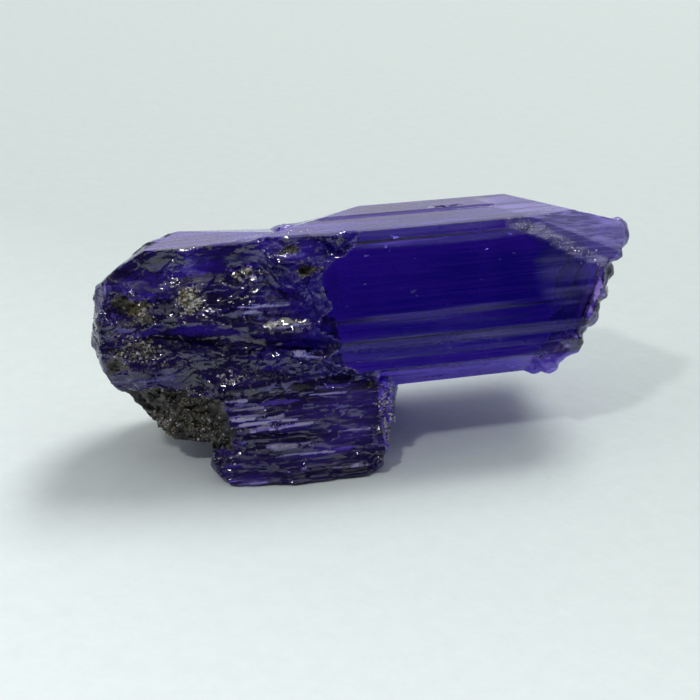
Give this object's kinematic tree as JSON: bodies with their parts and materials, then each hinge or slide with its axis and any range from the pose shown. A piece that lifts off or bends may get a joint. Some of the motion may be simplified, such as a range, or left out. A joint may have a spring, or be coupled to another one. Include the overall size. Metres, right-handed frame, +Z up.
{
  "type": "rough tanzanite crystal",
  "caption": "Uncut deep violet-blue tanzanite: a long flat-faced crystal with a striated shorter one under it, grown together and broken at both ends.",
  "frame": {"origin": "middle of the stone's bounding box, on the surface that it rests on", "axes": "+X along the crystals towards the end with the small rounded knobs, +Z up from the surface that the stone rests on, -Y towards the broad flat face"},
  "size_m": [0.022, 0.0086, 0.0083],
  "materials": {
    "tanzanite": "clear deep violet-blue crystal, glossy on its grown faces and glittering on its broken ones, with dark grains of host rock in the breaks"
  },
  "bodies": {
    "root": {"tanzanite_crystal": "tanzanite"}
  },
  "joints": []
}
